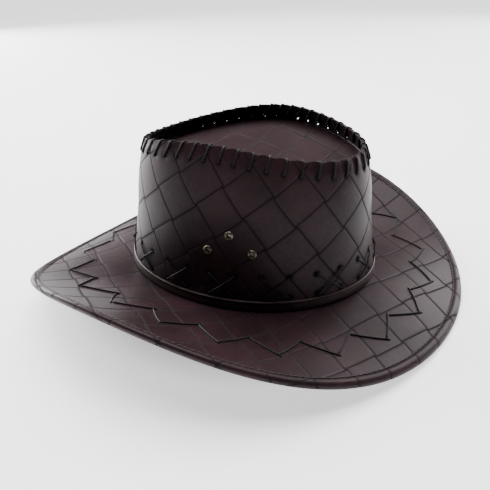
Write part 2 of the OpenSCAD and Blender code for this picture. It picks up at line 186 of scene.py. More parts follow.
def crown(a, t, out):
    """Point on the crown: t is 0 at its foot and 1 at its top edge."""
    s = np.maximum(t, 0)
    shoulder = 1.4 * (2 * s * (1 - s) + 16 * np.maximum(0, s - 0.5) * (1 - s))
    radius = mix(oval(*foot_oval, a), oval(*top_oval, a) + 2.6 * np.sin(3 * a), s) + shoulder + out
    return np.stack([radius * np.cos(a), radius * np.sin(a) + 2 - 2 * s,
                     lift + base_z(a) + wall_height(a) * t], -1)


def crown_up(a, height, out):
    return crown(a, height / wall_height(a), out)


raw_turn = np.radians(np.arange(-360, 1081, 1.0))
even_turn = even(raw_turn, *top_oval)


def rim_angle(i):
    return even(np.radians(rim_start + np.asarray(i) * 360 / rim_stitches), *top_oval)


def stitch_count(a):
    """The number, with its fraction, of the rim's lacing hole at this angle."""
    return (np.degrees(np.interp(a, even_turn, raw_turn)) - rim_start) * rim_stitches / 360


def rim(a, depth, out):
    """Point by depth below the crown's top edge, drawn in and puckered by the lacing there."""
    turn = 2 * np.pi * stitch_count(a)
    down = np.maximum(depth, 0)
    puckered = out - 0.5 * np.cos(turn) * np.exp(-(down / 9) ** 2) - 1.2 * np.exp(-(down / 5) ** 2)
    point = crown(a, 1 - depth / wall_height(a), puckered)
    point[..., 2] += 0.4 * np.cos(turn) * np.exp(-down / 3.5)
    return point


# across the flat strip from the back seam, once round the crown at mid height
wall_turn = np.radians(np.linspace(90, 450, 1441))
wall_line = crown(wall_turn, 0.5, 0)[:, :2]
wall_run = np.concatenate([[0], np.cumsum(np.linalg.norm(np.diff(wall_line, axis=0), axis=1))])
wall_length = wall_run[-1]


def run_at(a):
    return np.interp(np.mod(a - np.pi / 2, 2 * np.pi) + np.pi / 2, wall_turn, wall_run)


def lattice(first, first_turn, second, second_turn, corner):
    """A weave's tiles: their length along each of two directions in degrees, and one corner."""
    turns = np.radians([first_turn, second_turn])
    lengths = np.array([[first], [second]])
    return lengths * np.stack([np.cos(turns), np.sin(turns)], -1), np.array(corner)


def tile_widths(axes):
    """How far apart the weave's lines are, measured square across them."""
    return abs(np.linalg.det(axes)) / np.linalg.norm(axes, axis=1)[::-1]


def weave(x, y, pattern):
    """Distances from flat points to where the strip on top dives, and to its own side edge."""
    axes, corner = pattern
    turn_back = np.linalg.inv(axes)
    p, q = [(x - corner[0]) * turn_back[0, k] + (y - corner[1]) * turn_back[1, k] for k in (0, 1)]
    to_p, to_q = [np.minimum(n % 1, 1 - n % 1) * width for n, width in zip((p, q), tile_widths(axes))]
    along = (np.floor(p) + np.floor(q)) % 2 == 0
    return np.where(along, to_p, to_q), np.where(along, to_q, to_p)


def emboss(x, y, pattern):
    """How deep the embossing is, how much painted shade with dark dye lies in its creases, and how much
    its edges are drawn paler as wear with a painted highlight.
    """
    to_end, to_side = weave(x, y, pattern)
    dive = 0.22 * np.clip(1 - to_end / 2.9, 0, 1) ** 2
    edge = 0.06 * np.clip(1 - to_side / 0.9, 0, 1) ** 2
    return dive + edge, np.exp(-(to_end / 1.15) ** 1.7), 0.15 * np.exp(-(to_side / 0.9) ** 2)


def blank(keep, low, high, pattern, offsets=(0.2, 0.8, 1.7, 2.9, 6.0, 9.5)):
    """A flat sheet of faces whose lines follow a weave, where keep(x, y) is above -6."""
    axes, corner = pattern
    corners = np.array([(x, y) for x in (low[0], high[0]) for y in (low[1], high[1])])
    reach = (corners - corner) @ np.linalg.inv(axes)
    lines = []
    for k, width in enumerate(tile_widths(axes)):
        tiles = np.arange(math.floor(reach[:, k].min()), math.ceil(reach[:, k].max()))
        steps = sorted({d / width for d in offsets} | {0.5} | {1 - d / width for d in offsets})
        lines.append((tiles[:, None] + np.array(steps)[None, :]).ravel())
    p, q = np.meshgrid(*lines, indexing="ij")
    x = corner[0] + p * axes[0, 0] + q * axes[1, 0]
    y = corner[1] + p * axes[0, 1] + q * axes[1, 1]
    wanted = keep(x, y) > -6
    number = np.arange(p.size).reshape(p.shape)
    use = wanted[:-1, :-1] & wanted[1:, :-1] & wanted[1:, 1:] & wanted[:-1, 1:]
    quads = np.stack([number[:-1, :-1], number[1:, :-1], number[1:, 1:], number[:-1, 1:]], -1)[use]
    used, quads = np.unique(quads, return_inverse=True)
    mesh = bpy.data.meshes.new("blank")
    flat = np.stack([x.ravel(), y.ravel(), np.zeros(p.size)], -1)[used]
    mesh.from_pydata(flat.tolist(), [], quads.reshape(-1, 4).tolist())
    sheet = bmesh.new()
    sheet.from_mesh(mesh)
    bpy.data.meshes.remove(mesh)
    return sheet


def cut(sheet, value, drop=False):
    """Splits a flat sheet's faces along value(x, y) = 0; with drop, the part below 0 goes."""
    sheet.verts.index_update()
    flat = np.array([v.co[:2] for v in sheet.verts])
    sign = value(flat[:, 0], flat[:, 1]) > 0
    crossing = [e for e in sheet.edges if sign[e.verts[0].index] != sign[e.verts[1].index]]
    inside = flat[[e.verts[0].index if sign[e.verts[0].index] else e.verts[1].index for e in crossing]]
    outside = flat[[e.verts[1].index if sign[e.verts[0].index] else e.verts[0].index for e in crossing]]
    low = np.zeros(len(crossing))
    high = np.ones(len(crossing))
    for _ in range(16):
        middle = (low + high) / 2
        point = mix(inside, outside, middle[:, None])
        above = value(point[:, 0], point[:, 1]) > 0
        low = np.where(above, middle, low)
        high = np.where(above, high, middle)
    split = {}
    for edge, share in zip(crossing, low):
        start = edge.verts[0] if sign[edge.verts[0].index] else edge.verts[1]
        vertex = bmesh.utils.edge_split(edge, start, min(max(share, 0.02), 0.98))[1]
        for face in vertex.link_faces:
            split.setdefault(face, []).append(vertex)
    for face, vertices in split.items():
        ordered = [v for v in face.verts if v in vertices]
        for first, second in zip(ordered[0::2], ordered[1::2]):
            shared = set(first.link_faces) & set(second.link_faces)
            if shared and not sheet.edges.get((first, second)):
                bmesh.utils.face_split(shared.pop(), first, second)
    if drop:
        faces = list(sheet.faces)
        middles = np.array([f.calc_center_median()[:2] for f in faces])
        gone = value(middles[:, 0], middles[:, 1]) <= 0
        bmesh.ops.delete(sheet, geom=[f for f, g in zip(faces, gone) if g], context="FACES")


def punch(sheet, holes, sides=10):
    """Cuts round holes, each (x, y, radius), through a flat sheet."""
    faces = list(sheet.faces)
    tree = KDTree(len(faces))
    for i, face in enumerate(faces):
        tree.insert(face.calc_center_median(), i)
    tree.balance()
    groups = []
    for hole in holes:
        group = next((g for g in groups if any(math.dist(hole[:2], o[:2]) < 9 for o in g)), None)
        if group is None:
            groups.append([hole])
        else:
            group.append(hole)
    for group in groups:
        near = {faces[i] for x, y, r in group for _, i, _ in tree.find_range((x, y, 0), r + 2.6)}
        near = {f for f in near if f.is_valid}
        geometry = list(near | {e for f in near for e in f.edges} | {v for f in near for v in f.verts})
        for x, y, r in group:
            for k in range(sides):
                turn = 2 * math.pi * (k + 0.5) / sides
                normal = Vector((math.cos(turn), math.sin(turn), 0))
                geometry = bmesh.ops.bisect_plane(
                    sheet, geom=geometry, dist=1e-5,
                    plane_co=Vector((x, y, 0)) + normal * r, plane_no=normal)["geom"]
            middle = [f for f in geometry if isinstance(f, bmesh.types.BMFace)
                      and math.dist(f.calc_center_median()[:2], (x, y)) < r * 0.98]
            bmesh.ops.delete(sheet, geom=middle, context="FACES")
            geometry = [g for g in geometry if g.is_valid]


def shell(sheet, place):
    """Points, faces and flat places of a sheet with thickness; place(x, y, share) puts a flat
    point on its face where share is 0, and on its back where share is 1."""
    sheet.verts.index_update()
    flat = np.array([v.co[:2] for v in sheet.verts])
    faces = [[v.index for v in f.verts] for f in sheet.faces]
    sheet.free()
    count = len(flat)
    sides = {(a, b) for f in faces for a, b in zip(f, f[1:] + f[:1])}
    rims = [(b, a, a + count, b + count) for a, b in sides if (b, a) not in sides]
    backs = [[i + count for i in reversed(f)] for f in faces]
    points = np.concatenate([place(flat[:, 0], flat[:, 1], share) for share in (0, 1)])
    return points, faces + backs + rims, np.concatenate([flat, flat])


def piece(name, points, faces, material, slot, nodes=(), sharp=55, uv=None, **values):
    """Makes one piece of the hat, from points in millimetres, riding on the hat's only body."""
    mesh = bpy.data.meshes.new(name)
    mesh.from_pydata((np.asarray(points) / 1000).tolist(), [], [list(f) for f in faces])
    for key, value in values.items():
        mesh.attributes.new(key, "FLOAT", "POINT").data.foreach_set("value", np.ravel(value))
    if uv is not None:
        mesh.uv_layers.new(name="run").data.foreach_set("uv", np.ravel(uv))
    work = bmesh.new()
    work.from_mesh(mesh)
    loose = [v for v in work.verts if not v.link_faces]
    bmesh.ops.delete(work, geom=loose, context="VERTS")
    bmesh.ops.recalc_face_normals(work, faces=work.faces)
    work.to_mesh(mesh)
    work.free()
    mesh.shade_smooth()
    mesh.set_sharp_from_angle(angle=math.radians(sharp))
    mesh.materials.append(material)
    made = bpy.data.objects.new(name, mesh)
    bpy.context.collection.objects.link(made)
    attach(made, "root")
    if nodes:
        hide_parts(*nodes)
    return made


def leathercloth(name, dark, light, pale_wear_and_highlight, gloss, grain):
    """Coated leathercloth: two browns that drift into each other, painted shade with some dark
    dye in the creases, edges drawn paler as rubbing wear with a painted highlight, and a
    fine pebble grain."""
    material, tree, shader = new_material(name, Specular_IOR_Level=0.12)
    place = add(tree, "ShaderNodeTexCoord").outputs["Object"]
    drift = add(tree, "ShaderNodeTexNoise", {"Vector": place, "Scale": 28.0, "Detail": 3.0})
    fleck = add(tree, "ShaderNodeTexNoise", {"Vector": place, "Scale": 420.0, "Detail": 4.0})
    amount = add(tree, "ShaderNodeMath", {0: fleck.outputs[0], 1: 0.45, 2: drift.outputs[0]},
                 operation="MULTIPLY_ADD")
    spread = add(tree, "ShaderNodeMapRange", {0: amount.outputs[0], 1: 0.5, 2: 0.95})
    body = add(tree, "ShaderNodeMix", {0: spread.outputs[0], 6: colour(dark), 7: colour(light)},
               data_type="RGBA")
    # edges drawn paler: partly rubbing wear, partly a painted highlight along raised edges
    rub = add(tree, "ShaderNodeAttribute", attribute_name="rubbed")
    wear_and_highlight_amount = add(tree, "ShaderNodeMath", {0: rub.outputs["Fac"], 1: fleck.outputs[0]},
                  operation="MULTIPLY")
    worn_and_highlit = add(tree, "ShaderNodeMix", {0: wear_and_highlight_amount.outputs[0], 6: body.outputs[2], 7: colour(pale_wear_and_highlight)},
               data_type="RGBA")
    # painted shade, with some dark dye, darkens the creases almost to black; they are made rougher too
    crease = add(tree, "ShaderNodeAttribute", attribute_name="crease")
    crease_shaded = add(tree, "ShaderNodeMix", {0: crease.outputs["Fac"], 6: worn_and_highlit.outputs[2],
                                        7: colour("#0b0708")}, data_type="RGBA")
    tree.links.new(crease_shaded.outputs[2], shader.inputs["Base Color"])
    dull = add(tree, "ShaderNodeMapRange", {0: crease.outputs["Fac"], 3: gloss, 4: 0.95})
    tree.links.new(dull.outputs[0], shader.inputs["Roughness"])
    pebble = add(tree, "ShaderNodeTexVoronoi", {"Vector": place, "Scale": 1000 / grain},
                 feature="F1")
    pore = add(tree, "ShaderNodeTexNoise", {"Vector": place, "Scale": 2400.0, "Detail": 2.0})
    height = add(tree, "ShaderNodeMath", {0: pebble.outputs["Distance"], 1: -0.8,
                                          2: pore.outputs[0]}, operation="MULTIPLY_ADD")
    bump = add(tree, "ShaderNodeBump", {"Height": height.outputs[0], "Strength": 0.35,
                                        "Distance": 0.00012})
    tree.links.new(bump.outputs[0], shader.inputs["Normal"])
    return material


# dark brown PVC leathercloth with a satin finish; pebbles about 0.9 mm across
brown_weave = leathercloth("brown_embossed_leathercloth", "#1a0e11", "#2c1b20", "#413136", 0.42, 0.9)

wall_weave = lattice(26, 35.5, 26, 125.5, (-2.3, 3.9))
vents = [(math.radians(a), h) for side in (-20, 200) for a, h in (
    (side - 11.5, 42.5), (side, 54.5), (side + 11.5, 42.5))]
crosses = 15
cross_low = 10.5
cross_high = 25.5


def cross_angle(i):
    return even(np.radians(141 + np.asarray(i) * 180 / crosses), *foot_oval)


rim_turns = rim_angle(np.arange(rim_stitches))
cross_turns = cross_angle(np.arange(2 * crosses))
hole_depth = 10.0
# the lace has pulled six of the rim's holes open on one side; it nearly fills the others
rim_holes = np.where(np.isin(np.arange(rim_stitches), range(17, 23)), 1.75, 0.95)
wall_holes = np.array(
    list(zip(run_at(rim_turns), wall_height(rim_turns) - hole_depth, rim_holes))
    + [(u, v, 1.2) for u in run_at(cross_turns) for v in (cross_low, cross_high)])


def from_holes(x, y, holes):
    """Distance from flat points to the edge of the nearest lacing hole."""
    away = np.full(np.shape(x), 99.0)
    for hole_x, hole_y, radius in holes:
        away = np.minimum(away, np.hypot(x - hole_x, y - hole_y) - radius)
    return np.maximum(away, 0)


def wall_place(u, v, share):
    """A flat point of the wall in space, with the embossing on its outer face."""
    a = np.interp(u, wall_run, wall_turn)
    seam = np.exp(-(np.minimum(u, wall_length - u) / 1.4) ** 2)
    press = np.min([np.hypot(u - run_at(b), v - h) for b, h in vents], axis=0)
    depth = 0.75 * emboss(u, v, wall_weave)[0] * np.clip(press / 3 - 1.2, 0, 1)
    dimple = 0.45 * np.exp(-(from_holes(u, v, wall_holes) / 0.9) ** 2)
    out = -leather if share else -depth - 0.45 * seam - dimple
    return rim(a, wall_height(a) - v, out)


def wall_edge(u, v):
    return np.minimum(np.minimum(u - 0.08, wall_length - 0.08 - u),
                      np.minimum(v - 0.1, wall_height(np.interp(u, wall_run, wall_turn)) - v))


sheet = blank(wall_edge, (0, 0), (wall_length, 116), wall_weave)
cut(sheet, lambda u, v: u - 0.08, drop=True)
cut(sheet, lambda u, v: wall_length - 0.08 - u, drop=True)
cut(sheet, lambda u, v: v - 0.1, drop=True)
cut(sheet, lambda u, v: wall_height(np.interp(u, wall_run, wall_turn)) - v, drop=True)
for inset in (0.3, 1.0, 2.0, 3.2, 4.6, 6.2, 8.2, 11.8):
    cut(sheet, lambda u, v: wall_height(np.interp(u, wall_run, wall_turn)) - v - inset)
punch(sheet, wall_holes.tolist() + [(run_at(a), v, 2.15) for a, v in vents])
points, faces, flat = shell(sheet, wall_place)
_, crease, rubbed = emboss(flat[:, 0], flat[:, 1], wall_weave)
# painted shade darkens the leathercloth round each lacing hole
hole_shade = np.exp(-(from_holes(flat[:, 0], flat[:, 1], wall_holes) / 1.1) ** 2)
piece("crown_wall_leather", points, faces, brown_weave, "embossed_leathercloth", ["crown_wall"],
      crease=np.maximum(crease, hole_shade), rubbed=rubbed)


# ============================================================================
# Crown tip: a panel of the same leathercloth, dished, with its edge turned up
# inside the wall and laced to it.
# ============================================================================
tip_weave = lattice(36.1, -115.0, 40.2, 3.8, (2.3, -29.1))
tip_depth = 13
tip_fold = 1.8
# the turned-up edge shows its face at this distance inside the wall's face
flange_out = -2.5


def tip_edge(a):
    """Distance from the panel's middle to its fold, in plan."""
    edge = crown(a, 1 - tip_depth / wall_height(a), flange_out)
    return np.hypot(edge[..., 0], edge[..., 1])


def dish(a, u, under):
    """The panel inside its fold: u is 0 at its middle and 1 at the fold."""
    edge = crown(a, 1 - tip_depth / wall_height(a), flange_out)
    u = u[..., None]
    middle = np.array([0.0, 0.0, 112.5])
    point = np.concatenate([mix(middle[:2], edge[..., :2], u), mix(middle[2], edge[..., 2:], u * u)], -1)
    point[..., 2] -= under
    return point


tip_hole_reach = tip_edge(rim_turns) + tip_depth - hole_depth
tip_holes = [(r * math.cos(a), r * math.sin(a), hole)
             for r, a, hole in zip(tip_hole_reach, rim_turns, rim_holes)]


def tip_place(x, y, share):
    """A flat point of the tip in space: dished inside its fold, and upright beyond it."""
    a = np.arctan2(y, x)
    reach = tip_edge(a)
    beyond = np.hypot(x, y) - reach
    dimple = 0.4 * np.exp(-(from_holes(x, y, tip_holes) / 0.8) ** 2)
    depth = leather * share + (0 if share else emboss(x, y, tip_weave)[0] + dimple)
    flat_part = dish(a, (reach + np.minimum(beyond, -tip_fold)) / reach, depth)
    corner = rim(a, tip_depth + depth, flange_out + depth)
    upright = rim(a, tip_depth - np.maximum(beyond, tip_fold), flange_out + depth)
    t = np.clip((beyond + tip_fold) / (2 * tip_fold), 0, 1)[:, None]
    return flat_part * (1 - t) ** 2 + corner * 2 * t * (1 - t) + upright * t ** 2


def tip_left(x, y):
    return tip_edge(np.arctan2(y, x)) + tip_depth - np.hypot(x, y)


sheet = blank(tip_left, (-115, -100), (115, 100), tip_weave, (0.2, 0.8, 1.7, 2.9, 6.0, 9.5, 13.5))
cut(sheet, tip_left, drop=True)
for inset in (0.3, 1.2, 2.4, 4.0, 6.0, 8.0, 11.2, 12.1, 13.0, 13.9, 14.8, 16.5, 19.0):
    cut(sheet, lambda x, y: tip_left(x, y) - inset)
punch(sheet, tip_holes)
points, faces, flat = shell(sheet, tip_place)
_, crease, rubbed = emboss(flat[:, 0], flat[:, 1], tip_weave)
# painted shade darkens the leathercloth round each lacing hole
hole_shade = np.exp(-(from_holes(flat[:, 0], flat[:, 1], tip_holes) / 0.7) ** 2)
piece("crown_tip_leather", points, faces, brown_weave, "embossed_leathercloth", ["crown_tip"],
      crease=np.maximum(crease, hole_shade), rubbed=rubbed)


# ============================================================================
# Rim lace: a round black lace whipped over the wall's and the tip's edges,
# out of each hole, steeply up over the edge, and slanting inside to the next hole.
# ============================================================================
def strand(place, stops, step=0.55, ease=3):
    """A path through stops in surface coordinates, eased at its corners."""
    stops = np.array(stops, dtype=float)
    there = place(*stops.T)
    path = []
    for i in range(len(stops) - 1):
        count = max(2, int(np.linalg.norm(there[i + 1] - there[i]) / step))
        path.append(mix(stops[i], stops[i + 1], np.linspace(0, 1, count, endpoint=False)[:, None]))
    path = place(*np.concatenate(path + [stops[-1:]]).T)
    for _ in range(ease):
        path[1:-1] = (path[:-2] + 2 * path[1:-1] + path[2:]) / 4
    return path


def tube(path, radius, sides=8):
    """Points, faces and UVs of a round cord along a path, with closed ends."""
    along = np.gradient(path, axis=0)
    along /= np.linalg.norm(along, axis=1)[:, None]
    side = np.cross(along[0], (0.3, 0.2, 1.0))
    frames = []
    for direction in along:
        side = side - direction * side.dot(direction)
        side /= np.linalg.norm(side)
        frames.append((side, np.cross(direction, side)))
    frames = np.array(frames)
    turns = 2 * np.pi * np.arange(sides) / sides
    rings = path[:, None] + radius * (
        frames[:, 0, None] * np.cos(turns)[None, :, None]
        + frames[:, 1, None] * np.sin(turns)[None, :, None])
    count = len(path)
    run = np.concatenate([[0], np.cumsum(np.linalg.norm(np.diff(path, axis=0), axis=1))])
    faces = []
    uvs = []
    for i in range(count - 1):
        for k in range(sides):
            j = (k + 1) % sides
            faces.append((i * sides + k, i * sides + j, (i + 1) * sides + j, (i + 1) * sides + k))
            uvs += [(k / sides, run[i]), ((k + 1) / sides, run[i]),
                    ((k + 1) / sides, run[i + 1]), (k / sides, run[i + 1])]
    for ring in (0, count - 1):
        faces.append([ring * sides + k for k in range(sides)])
        uvs += [(0.5, run[ring])] * sides
    return rings.reshape(-1, 3), faces, uvs


# round lace of waxed black cotton, 1.5 mm; the plait is drawn every 1.2 mm, twice as
# coarse as the real one, so that it can be seen at all
black_lace, tree, shader = new_material("waxed_black_cotton_lace", Roughness=0.65,
                                        Specular_IOR_Level=0.2)
run = add(tree, "ShaderNodeUVMap", uv_map="run").outputs[0]
plaits = []
for way in (1, -1):
    turned = add(tree, "ShaderNodeMapping", {"Vector": run, "Scale": (2 * math.pi * way / 10,
                                                                     2 * math.pi / 12, 0)})
    plaits.append(add(tree, "ShaderNodeTexWave", {"Vector": turned.outputs[0], "Scale": 1.0},
                      bands_direction="DIAGONAL").outputs["Fac"])
plait = add(tree, "ShaderNodeMath", {0: plaits[0], 1: plaits[1]}, operation="MAXIMUM")
tone = add(tree, "ShaderNodeMix", {0: plait.outputs[0], 6: colour("#040304"), 7: colour("#0f0d0d")},
           data_type="RGBA")
tree.links.new(tone.outputs[2], shader.inputs["Base Color"])
bump = add(tree, "ShaderNodeBump", {"Height": plait.outputs[0], "Strength": 0.6, "Distance": 0.0001})
tree.links.new(bump.outputs[0], shader.inputs["Normal"])

lace_out = 0.85
lace_in = -3.35
stops = []
for i in range(rim_stitches):
    a, b = rim_angle(i), rim_angle(i + 1)
    stops += [(a, hole_depth, lace_in), (a, hole_depth, lace_out), (mix(a, b, 0.17), 5.0, lace_out),
              (mix(a, b, 0.31), 0.4, lace_out), (mix(a, b, 0.34), -0.85, -1.25),
              (mix(a, b, 0.37), 0.4, lace_in), (mix(a, b, 0.67), 5.0, lace_in)]
points, faces, uvs = tube(strand(rim, stops), 0.75)
piece("rim_lacing", points, faces, black_lace, "black_lace", ["rim_lace"], sharp=180, uv=uvs)


# ============================================================================
# Crossed lace: fifteen crosses round the crown's foot, each from two upper
# holes to two lower ones just above the band.
# ============================================================================
behind = -2.05
stops = []
for i in range(crosses):
    a, b = cross_angle(2 * i), cross_angle(2 * i + 1)
    halfway = (cross_low + cross_high) / 2
    stops += [
        (a, cross_high, behind), (a, cross_high, lace_out), (mix(a, b, 0.5), halfway, lace_out),
        (b, cross_low, lace_out), (b, cross_low, behind), (a, cross_low, behind),
        (a, cross_low, lace_out), (mix(a, b, 0.3), mix(cross_low, cross_high, 0.3), 1.5),
        (mix(a, b, 0.5), halfway, 2.35), (mix(a, b, 0.7), mix(cross_low, cross_high, 0.7), 1.5),
        (b, cross_high, lace_out), (b, cross_high, behind),
    ]
points, faces, uvs = tube(strand(crown_up, stops), 0.6)
piece("crown_cross_lacing", points, faces, black_lace, "black_lace", ["crown_cross_lace"],
      sharp=180, uv=uvs)


# ============================================================================
# Hat band: a narrow folded strip of plain leathercloth round the crown's foot,
# with a raised welt along its top; one end laps over the other at the back.
# ============================================================================
band_section = np.array([
    (0.8, 0.2), (0.85, 0.7), (1.3, 1.0), (2.2, 1.12), (3.3, 1.14), (4.4, 1.14), (5.4, 1.1),
    (6.2, 0.95), (6.55, 0.9), (6.9, 1.2), (7.3, 1.5), (7.75, 1.62), (8.15, 1.5), (8.42, 1.1),
    (8.5, 0.6), (8.4, 0.12), (5.0, 0.1), (2.0, 0.1),
])
band_turns = np.radians(np.linspace(100, 469, 370))
lapped = np.clip((np.degrees(band_turns) - 455.5) / 4.5, 0, 1)
tapered = 1 - 0.35 * np.clip((np.degrees(band_turns) - 466) / 3, 0, 1) ** 2
points = crown_up(band_turns[:, None] + 0 * band_section[None, :, 0],
                  band_section[None, :, 0] + 0 * band_turns[:, None],
                  band_section[None, :, 1] * tapered[:, None] + 1.76 * lapped[:, None])
count = len(band_section)
faces = [(i * count + k, i * count + (k + 1) % count, (i + 1) * count + (k + 1) % count,
          (i + 1) * count + k) for i in range(len(band_turns) - 1) for k in range(count)]
faces += [list(range(count)), [(len(band_turns) - 1) * count + k for k in range(count)]]
# painted shade at the band's foot, in the groove below the welt and on its back against the wall
crease = np.tile(np.isin(np.arange(count), (0, 8, 15, 16, 17)) * 0.9, len(band_turns))
# the welt's top drawn paler, as wear with a painted highlight
rubbed = np.tile(np.isin(np.arange(count), (11, 12)) * 1.0, len(band_turns))
# the same brown leathercloth without the embossing, a little glossier where handled
plain_brown = leathercloth("brown_plain_leathercloth", "#241719", "#322124", "#504044", 0.4, 0.8)
piece("hat_band_strip", points.reshape(-1, 3), faces, plain_brown, "plain_leathercloth", ["hat_band"],
      crease=crease, rubbed=rubbed)


# ============================================================================
# Vents: three brass eyelets on each side, set through the wall and closed on
# steel washers inside.
# ============================================================================
def metal(name, base, dark, rough, patch):
    """Plain metal with tarnish in patches of that size in millimetres."""
    material, tree, shader = new_material(name, Metallic=1.0)
    place = add(tree, "ShaderNodeTexCoord").outputs["Object"]
    spots = add(tree, "ShaderNodeTexNoise", {"Vector": place, "Scale": 1000 / patch, "Detail": 4.0})
    spread = add(tree, "ShaderNodeMapRange", {0: spots.outputs[0], 1: 0.4, 2: 0.62})
    tone = add(tree, "ShaderNodeMix", {0: spread.outputs[0], 6: colour(base), 7: colour(dark)},
               data_type="RGBA")
    tree.links.new(tone.outputs[2], shader.inputs["Base Color"])
    gloss = add(tree, "ShaderNodeMapRange", {0: spots.outputs[0], 1: 0.3, 2: 0.7, 3: rough,
                                            4: rough + 0.25})
    tree.links.new(gloss.outputs[0], shader.inputs["Roughness"])
    return material


def refinish(node, material):
    """Gives a CAD node that is kept its finished material."""
    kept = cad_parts[node]
    for place in kept.material_slots:
        place.material = material


# antique brass, gone dull and greenish grey
refinish("vent_eyelets", metal("antique_brass", "#77705e", "#3a362c", 0.32, 1.5))
# zinc-plated steel
plated = metal("zinc_plated_steel", "#a9abb0", "#6f7176", 0.3, 3.0)
refinish("vent_washers", plated)
refinish("brim_wire", plated)


# ============================================================================
# Brim: two plies of the embossed leathercloth over a board, with a wire in the
# edge. The zigzag's holes go through all three layers.
# ============================================================================
# the brim's length and width, and how far its sides rise and its ends drop
brim_oval = (337, 354)
side_rise = 39
end_drop = 14.2


def brim_radius(a):
    return oval(*brim_oval, a) + 1.9 * (1 - np.cos(4 * a))


def brim_edge_z(a):
    ends = (side_rise - end_drop) / 4
    return (ends + 2.75 + (side_rise + end_drop) / 2 * np.cos(2 * a) + (ends - 2.75) * np.cos(4 * a)
            + 2.8 * (np.sin(a) + np.sin(3 * a)))


def brim(a, s, rise):
    """Point on the brim: s is 0 at the crown and 1 at the edge."""
    foot = oval(*foot_oval, a)
    edge = brim_radius(a)
    radius = mix(foot, edge, s)
    height = (mix(base_z(a), brim_edge_z(a), s) + lift + rise
              - 10 * np.maximum(0, s) * (1 - s) * np.cos(2 * a))
    return np.stack([radius * np.cos(a), radius * np.sin(a) + 2 * (1 - s), height], -1)


def brim_find(x, y):
    """The angle and share of the brim's point above this place in plan."""
    s = np.full(np.shape(x), 0.5)
    for _ in range(8):
        lowered = y - 2 * (1 - s)
        a = np.arctan2(lowered, x)
        foot = oval(*foot_oval, a)
        s = (np.hypot(x, lowered) - foot) / (brim_radius(a) - foot)
    return a, s


def brim_run(a):
    return np.linalg.norm(brim(a, 1 + 0 * a, 0) - brim(a, 0 * a, 0), axis=-1)


def inset_at(x, y):
    """Distance in from the brim's edge."""
    a, s = brim_find(x, y)
    return (1 - s) * brim_run(a)


brim_weave = lattice(27.9, -124.0, 27.6, -20.6, (49.2, -95.9))
zigzags = 21
zigzag_inner = 0.465
zigzag_outer = 0.645
zigzag_gap = 2.2


def zigzag_angle(i):
    """The corners crowd together on two sides of the brim."""
    even_steps = 201.8 + np.asarray(i) * 360 / zigzags
    return np.radians(even_steps - 4.3 * np.sin(np.radians(2 * (even_steps - 210))))


brim_holes = []
for i in range(zigzags):
    for a, s, way in ((zigzag_angle(i), zigzag_outer, 1), (zigzag_angle(i + 0.5), zigzag_inner, -1)):
        for share in (s, s + way * zigzag_gap / brim_run(a)):
            x, y, _ = brim(a, share, 0)
            brim_holes.append((x, y, 0.9))


def brim_ply(name, face_rise, back_rise, node):
    """One ply, embossed on the face that shows."""
    outwards = 1 if face_rise > back_rise else -1

    def place(x, y, share):
        a, s = brim_find(x, y)
        depth = emboss(x, y, brim_weave)[0]
        return brim(a, s, back_rise if share else face_rise - outwards * depth)

    def left(x, y):
        a, s = brim_find(x, y)
        run = brim_run(a)
        return np.minimum((1 - s) * run - 4.0, s * run + 1.2)

    sheet = blank(left, (-180, -172), (180, 172), brim_weave)
    cut(sheet, lambda x, y: inset_at(x, y) - 4.0, drop=True)
    cut(sheet, left, drop=True)
    punch(sheet, brim_holes)
    points, faces, flat = shell(sheet, place)
    _, crease, rubbed = emboss(flat[:, 0], flat[:, 1], brim_weave)
    piece(name, points, faces, brown_weave, "embossed_leathercloth", [node],
          crease=crease, rubbed=rubbed)


brim_ply("brim_top_leather", 0.0, -leather, "brim_top_ply")
brim_ply("brim_bottom_leather", -3.6, -3.6 + leather, "brim_bottom_ply")

# grey fibreboard, seen only inside the lacing holes
board, tree, shader = new_material("grey_fibreboard", Roughness=0.85)
fibre = add(tree, "ShaderNodeTexNoise", {"Vector": add(tree, "ShaderNodeTexCoord").outputs["Object"],
                                         "Scale": 600.0, "Detail": 5.0})
tone = add(tree, "ShaderNodeMix", {0: fibre.outputs[0], 6: colour("#4d4943"), 7: colour("#7d776d")},
           data_type="RGBA")
tree.links.new(tone.outputs[2], shader.inputs["Base Color"])
refinish("brim_stiffener", board)


# ============================================================================
# Brim edge: the leathercloth turned over the wire into a round roll, with a
# stitched groove along its inner side, above and below.
# ============================================================================
edge_width = 7.4
edge_section = np.array([
    (edge_width, 1.9), (7.2, 2.22), (6.8, 2.28), (6.4, 2.18), (5.9, 2.2), (5.3, 2.62), (4.4, 2.98),
    (3.4, 3.1), (2.5, 3.0), (1.6, 2.6), (0.85, 1.9), (0.25, 1.0), (0.0, 0.0),
])
edge_section = np.concatenate([edge_section, edge_section[-2::-1] * (1, -1)])
edge_run = np.concatenate([[0], np.cumsum(np.linalg.norm(np.diff(edge_section, axis=0), axis=1))])


def edge_place(x, y, share):
    a, s = brim_find(x, y)
    run = edge_width - (1 - s) * brim_run(a)
    inset = np.interp(run, edge_run, edge_section[:, 0])
    rise = np.interp(run, edge_run, edge_section[:, 1])
    ahead = np.stack([np.interp(run + 0.3, edge_run, edge_section[:, k])
                      - np.interp(run - 0.3, edge_run, edge_section[:, k]) for k in (0, 1)])
    ahead /= np.hypot(*ahead)
    depth = 1.0 * np.clip(np.minimum(run, edge_run[-1] - run) / 3, 0.25, 1) if share else (
        emboss(x, y, brim_weave)[0] * 0.7 * np.clip(np.minimum(run, edge_run[-1] - run), 0.3, 1))
    inset = inset - ahead[1] * depth
    rise = rise + ahead[0] * depth
    return brim(a, 1 - inset / brim_run(a), rise - 1.8)


def edge_left(x, y):
    inset = inset_at(x, y)
    return np.minimum(edge_width - inset, edge_run[-1] - edge_width + inset)


